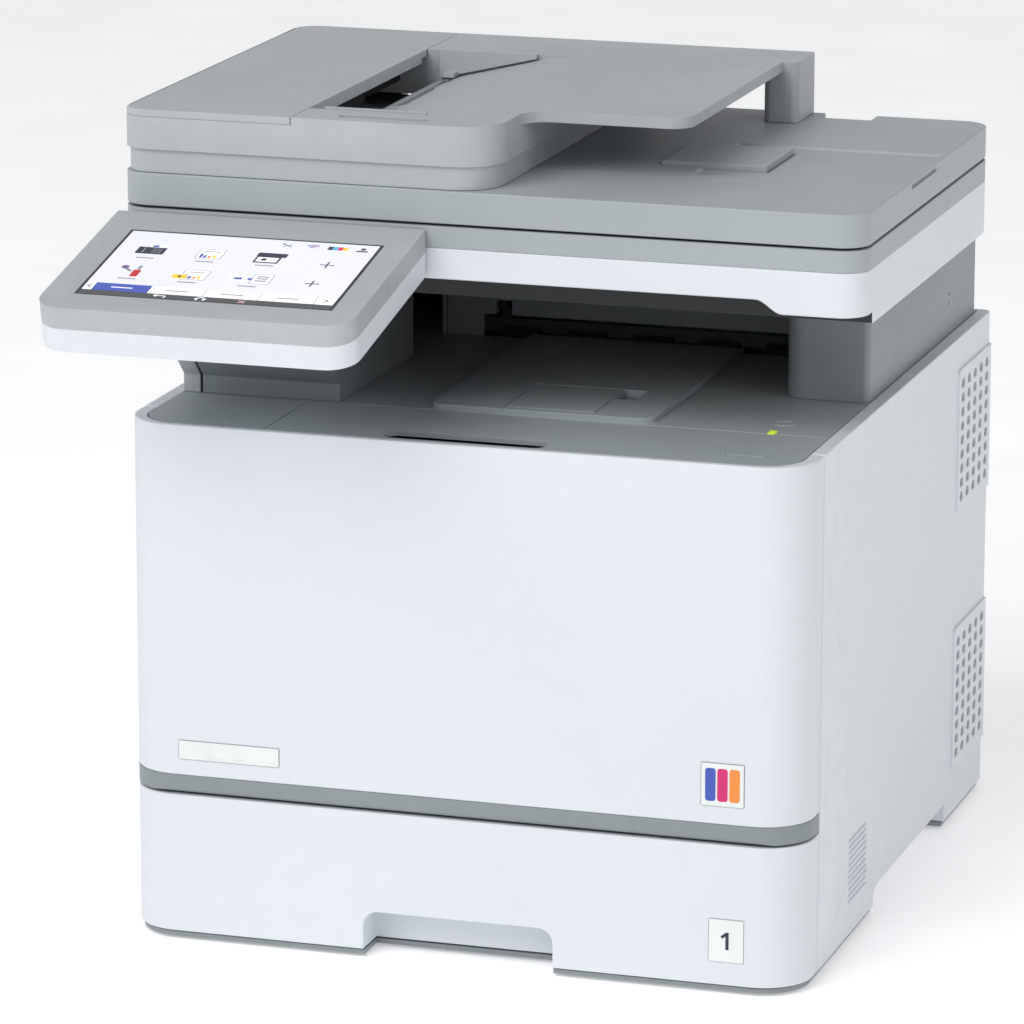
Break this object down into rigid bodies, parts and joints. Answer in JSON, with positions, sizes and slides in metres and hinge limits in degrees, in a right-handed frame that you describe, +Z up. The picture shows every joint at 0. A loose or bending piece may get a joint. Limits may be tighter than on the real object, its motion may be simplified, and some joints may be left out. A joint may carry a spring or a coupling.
{
  "type": "photocopier",
  "caption": "Desktop colour copier with a paper drawer, face-down output deck, tilting touch panel, flatbed scanner and a hinged document feeder.",
  "frame": {"origin": "centre of the cabinet's footprint on the surface it stands on", "axes": "+Z up, the front with the drawer and control panel faces -Y, +X to the right seen from the front"},
  "size_m": [0.446, 0.5479, 0.4855],
  "materials": {
    "body_white": "fine matt moulded texture, cool white",
    "light_grey": "fine matt moulded texture, light grey",
    "mid_grey": "fine matt moulded texture, mid grey",
    "steel": "zinc plated sheet",
    "black_plastic": "matt black moulded plastic",
    "rubber": "matt black rubber",
    "clear_glass": "polished float glass",
    "display_glass": "polished cover glass over a lit display",
    "unit_green": "green moulded and lacquered parts",
    "toner_case": "matt black cartridges with colour coded ends",
    "belt_film": "glossy polyimide film",
    "cast_light": "bare sheet and castings",
    "light_pipe": "translucent yellow-green light pipe",
    "badge_plate": "satin printed plates",
    "roller_metal": "coated roller on a light core"
  },
  "bodies": {
    "cabinet": {"base_frame": "mid_grey", "feet": "rubber", "left_side_cover": "body_white", "right_side_cover": "body_white", "rear_panel": "body_white", "engine_frame": "steel", "top_deck": "mid_grey", "power_panel": "mid_grey", "left_tower": "mid_grey", "left_tower_cover": "light_grey", "right_tower": "mid_grey", "rear_riser": "mid_grey", "scanner_base": "body_white", "scanner_trim": "light_grey", "platen_glass": "clear_glass", "scanner_steelwork": "steel", "laser_unit": "black_plastic", "drum_unit": "unit_green", "toner_cartridges": "toner_case", "transfer_belt": "belt_film", "fuser_housing": "black_plastic", "power_supply": "cast_light", "main_board": "unit_green", "drive_unit": "cast_light", "fan_housing": "black_plastic", "rear_sockets": "black_plastic", "status_light": "light_pipe", "screws": "steel"},
    "front_cover": {"front_cover": "body_white", "front_band": "mid_grey", "front_liner": "mid_grey", "front_badges": "badge_plate"},
    "control_panel": {"panel_lower_case": "body_white", "panel_bezel": "light_grey", "display_glass": "display_glass"},
    "drawer": {"drawer_front": "body_white", "drawer_tray": "black_plastic", "drawer_number_plate": "badge_plate"},
    "platen_cover": {"platen_cover": "light_grey", "feeder_body": "light_grey"},
    "lift_plate": {"lift_plate": "steel"},
    "side_guide_left": {"side_guide_left": "mid_grey"},
    "side_guide_right": {"side_guide_right": "mid_grey"},
    "rear_guide": {"rear_guide": "mid_grey"},
    "feeder_lid": {"feeder_lid": "light_grey"},
    "feeder_guide_front": {"feeder_guide_front": "light_grey"},
    "feeder_guide_rear": {"feeder_guide_rear": "light_grey"},
    "output_stop": {"output_stop": "light_grey"},
    "feed_roller": {"feed_roller": "rubber"},
    "power_button": {"power_button": "mid_grey"},
    "cover_release_button": {"cover_release_button": "mid_grey"},
    "paper_stop": {"paper_stop": "mid_grey"},
    "exit_flag": {"exit_flag": "black_plastic"},
    "scan_carriage": {"scan_carriage": "black_plastic"},
    "rear_door": {"rear_door": "body_white"},
    "pickup_roller": {"pickup_roller": "rubber"},
    "heat_roller": {"heat_roller": "roller_metal"},
    "pressure_roller": {"pressure_roller": "rubber"},
    "exit_roller": {"exit_roller": "rubber"},
    "fan_rotor": {"fan_rotor": "black_plastic"}
  },
  "joints": [
    {"name": "front_cover_hinge", "type": "hinge", "parent": "cabinet", "child": "front_cover", "pos_m": [0, -0.225, 0.0942], "axis": [1, 0, 0], "range_deg": [0, 90]},
    {"name": "control_panel_tilt", "type": "hinge", "parent": "cabinet", "child": "control_panel", "pos_m": [-0.13, -0.18806, 0.40252], "axis": [1, 0, 0], "range_deg": [0, 40]},
    {"name": "drawer_slide", "type": "slide", "parent": "cabinet", "child": "drawer", "axis": [0, -1, 0], "range_m": [0, 0.32]},
    {"name": "lift_plate_hinge", "type": "hinge", "parent": "drawer", "child": "lift_plate", "pos_m": [0, -0.035, 0.0093], "axis": [-1, 0, 0], "range_deg": [0, 10]},
    {"name": "side_guide_right_slide", "type": "slide", "parent": "drawer", "child": "side_guide_right", "axis": [-1, 0, 0], "range_m": [0, 0.03]},
    {"name": "side_guide_left_slide", "type": "slide", "parent": "drawer", "child": "side_guide_left", "axis": [1, 0, 0], "range_m": [0, 0.03]},
    {"name": "rear_guide_slide", "type": "slide", "parent": "drawer", "child": "rear_guide", "axis": [0, -1, 0], "range_m": [0, 0.085]},
    {"name": "pickup_roller_spin", "type": "hinge", "parent": "cabinet", "child": "pickup_roller", "pos_m": [0, -0.15, 0.078], "axis": [1, 0, 0], "continuous": true},
    {"name": "heat_roller_spin", "type": "hinge", "parent": "cabinet", "child": "heat_roller", "pos_m": [0, 0.124, 0.17], "axis": [1, 0, 0], "continuous": true},
    {"name": "pressure_roller_spin", "type": "hinge", "parent": "cabinet", "child": "pressure_roller", "pos_m": [0, 0.1526, 0.17], "axis": [1, 0, 0], "continuous": true},
    {"name": "exit_roller_spin", "type": "hinge", "parent": "cabinet", "child": "exit_roller", "pos_m": [0, 0.068, 0.3095], "axis": [1, 0, 0], "continuous": true},
    {"name": "fan_spin", "type": "hinge", "parent": "cabinet", "child": "fan_rotor", "pos_m": [0.19, 0.1735, 0.245], "axis": [1, 0, 0], "continuous": true},
    {"name": "platen_cover_hinge", "type": "hinge", "parent": "cabinet", "child": "platen_cover", "pos_m": [0, 0.136, 0.432], "axis": [-1, 0, 0], "range_deg": [0, 70]},
    {"name": "feeder_lid_hinge", "type": "hinge", "parent": "platen_cover", "child": "feeder_lid", "pos_m": [-0.2207, 0, 0.4823], "axis": [0, -1, 0], "range_deg": [0, 75]},
    {"name": "feeder_guide_front_slide", "type": "slide", "parent": "platen_cover", "child": "feeder_guide_front", "axis": [0, 1, 0], "range_m": [0, 0.04]},
    {"name": "feeder_guide_rear_slide", "type": "slide", "parent": "platen_cover", "child": "feeder_guide_rear", "axis": [0, -1, 0], "range_m": [0, 0.04]},
    {"name": "output_stop_hinge", "type": "hinge", "parent": "platen_cover", "child": "output_stop", "pos_m": [0.072, -0.027, 0.4472], "axis": [0, -1, 0], "range_deg": [0, 40]},
    {"name": "feed_roller_spin", "type": "hinge", "parent": "platen_cover", "child": "feed_roller", "pos_m": [-0.138, -0.035, 0.466], "axis": [0, 1, 0], "continuous": true},
    {"name": "power_button_press", "type": "slide", "parent": "cabinet", "child": "power_button", "axis": [0, 0, -1], "range_m": [0, 0.0012], "stiffness_N_per_m": 400},
    {"name": "cover_release_press", "type": "slide", "parent": "cabinet", "child": "cover_release_button", "axis": [0, 0, -1], "range_m": [0, 0.0015], "stiffness_N_per_m": 400},
    {"name": "paper_stop_hinge", "type": "hinge", "parent": "cabinet", "child": "paper_stop", "pos_m": [0.027, -0.137, 0.3122], "axis": [1, 0, 0], "range_deg": [0, 90]},
    {"name": "exit_flag_swing", "type": "hinge", "parent": "cabinet", "child": "exit_flag", "pos_m": [-0.062, 0.064, 0.33], "axis": [1, 0, 0], "range_deg": [-45, 0]},
    {"name": "scan_carriage_slide", "type": "slide", "parent": "cabinet", "child": "scan_carriage", "axis": [1, 0, 0], "range_m": [0, 0.335]},
    {"name": "rear_door_hinge", "type": "hinge", "parent": "cabinet", "child": "rear_door", "pos_m": [0, 0.223, 0.077], "axis": [-1, 0, 0], "range_deg": [0, 80]}
  ],
  "couplings": [
    {"joint": "side_guide_left_slide", "follows": "side_guide_right_slide", "ratio": 1},
    {"joint": "pressure_roller_spin", "follows": "exit_roller_spin", "ratio": -0.42857},
    {"joint": "heat_roller_spin", "follows": "exit_roller_spin", "ratio": 0.42857},
    {"joint": "pickup_roller_spin", "follows": "exit_roller_spin", "ratio": -0.66667},
    {"joint": "feeder_guide_rear_slide", "follows": "feeder_guide_front_slide", "ratio": 1}
  ]
}
